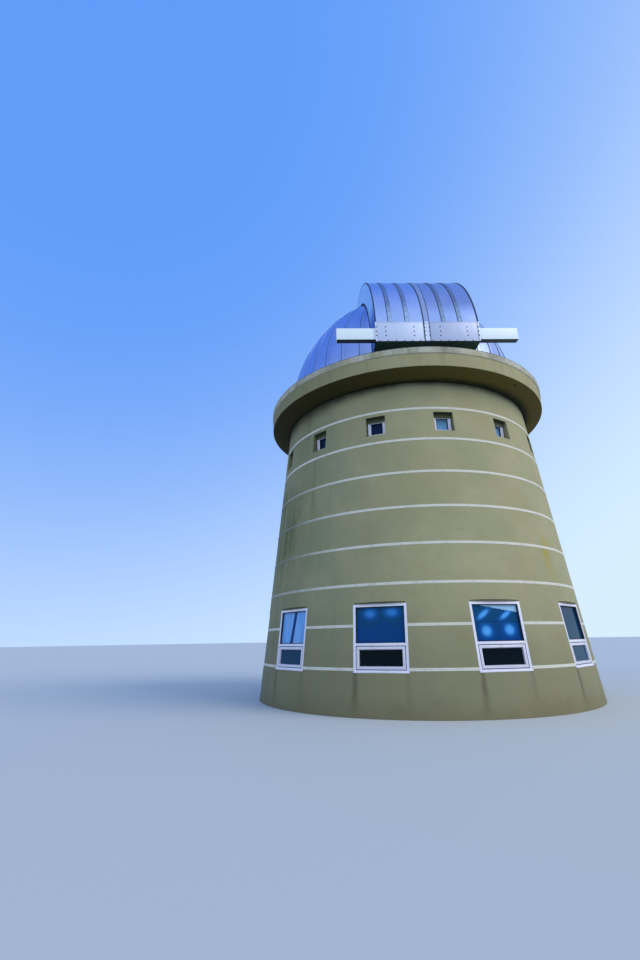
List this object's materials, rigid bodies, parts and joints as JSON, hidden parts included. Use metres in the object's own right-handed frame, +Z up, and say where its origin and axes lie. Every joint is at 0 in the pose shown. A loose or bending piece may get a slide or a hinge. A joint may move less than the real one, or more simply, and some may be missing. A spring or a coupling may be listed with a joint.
{
  "type": "observatory tower with rotating dome",
  "caption": "Tapered round observatory tower with a projecting cornice, a rotating sheet-metal dome and two sliding slit shutters.",
  "frame": {"origin": "centre of the round base on the ground", "axes": "+Z up the tower's axis; the slit, its front rail and the shutters' front plates face -Y at rest; the shutters slide along X"},
  "size_m": [9.6, 9.6, 13.411],
  "materials": {
    "stucco": "matte painted stucco",
    "concrete": "weathered concrete",
    "window_frame": "white moulded frame",
    "window_glass": "clear",
    "dome_sheet": "weathered sheet",
    "shutter_plate": "satin sheet",
    "rail_paint": "white gloss paint",
    "steel": "grey painted steel",
    "dark_panel": "dark matte"
  },
  "bodies": {
    "tower": {"ground_floor_slab": "concrete", "observing_floor": "concrete", "lower_wall_1": "stucco", "lower_wall_2": "stucco", "lower_wall_3": "stucco", "lower_wall_4": "stucco", "lower_wall_5": "stucco", "upper_wall_1": "stucco", "upper_wall_2": "stucco", "upper_wall_3": "stucco", "upper_wall_4": "stucco", "upper_wall_5": "stucco", "upper_wall_6": "stucco", "upper_wall_7": "stucco", "large_window_1": "window_frame", "large_window_2": "window_frame", "large_window_3": "window_frame", "large_window_4": "window_frame", "large_window_5": "window_frame", "large_window_6": "window_frame", "large_window_7": "window_frame", "large_window_8": "window_frame", "large_window_9": "window_frame", "large_window_10": "window_frame", "small_window_glass": "window_glass", "cornice": "stucco", "coping": "concrete", "dome_track": "steel"},
    "dome": {"dome_ring": "dome_sheet", "dome_shell_left_front": "dome_sheet", "dome_shell_left_rear": "dome_sheet", "dome_shell_right_front": "dome_sheet", "dome_shell_right_rear": "dome_sheet", "dome_shell_back": "dome_sheet", "slit_frame_left": "dome_sheet", "slit_frame_right": "dome_sheet", "slit_head": "dome_sheet", "front_rail": "rail_paint", "rear_rail": "rail_paint", "rear_rail_bracket_left": "steel", "rear_rail_bracket_right": "steel"},
    "shutter_left": {"shutter_left_skin": "dome_sheet", "shutter_left_cheek": "dome_sheet", "shutter_left_front_plate": "shutter_plate", "shutter_left_bottom_panel": "dark_panel", "shutter_left_front_carriage": "steel", "shutter_left_rear_carriage": "dark_panel", "shutter_left_cover_strip": "shutter_plate", "shutter_left_cover_lip": "shutter_plate"},
    "shutter_right": {"shutter_right_skin": "dome_sheet", "shutter_right_cheek": "dome_sheet", "shutter_right_front_plate": "shutter_plate", "shutter_right_bottom_panel": "dark_panel", "shutter_right_front_carriage": "steel", "shutter_right_rear_carriage": "dark_panel"}
  },
  "joints": [
    {"name": "dome_rotation", "type": "hinge", "parent": "tower", "child": "dome", "pos_m": [0, 0, 9.05], "axis": [0, 0, 1], "continuous": true},
    {"name": "left_shutter_slide", "type": "slide", "parent": "dome", "child": "shutter_left", "axis": [-1, 0, 0], "range_m": [0, 1.05]},
    {"name": "right_shutter_slide", "type": "slide", "parent": "dome", "child": "shutter_right", "axis": [1, 0, 0], "range_m": [0, 1.05]}
  ]
}
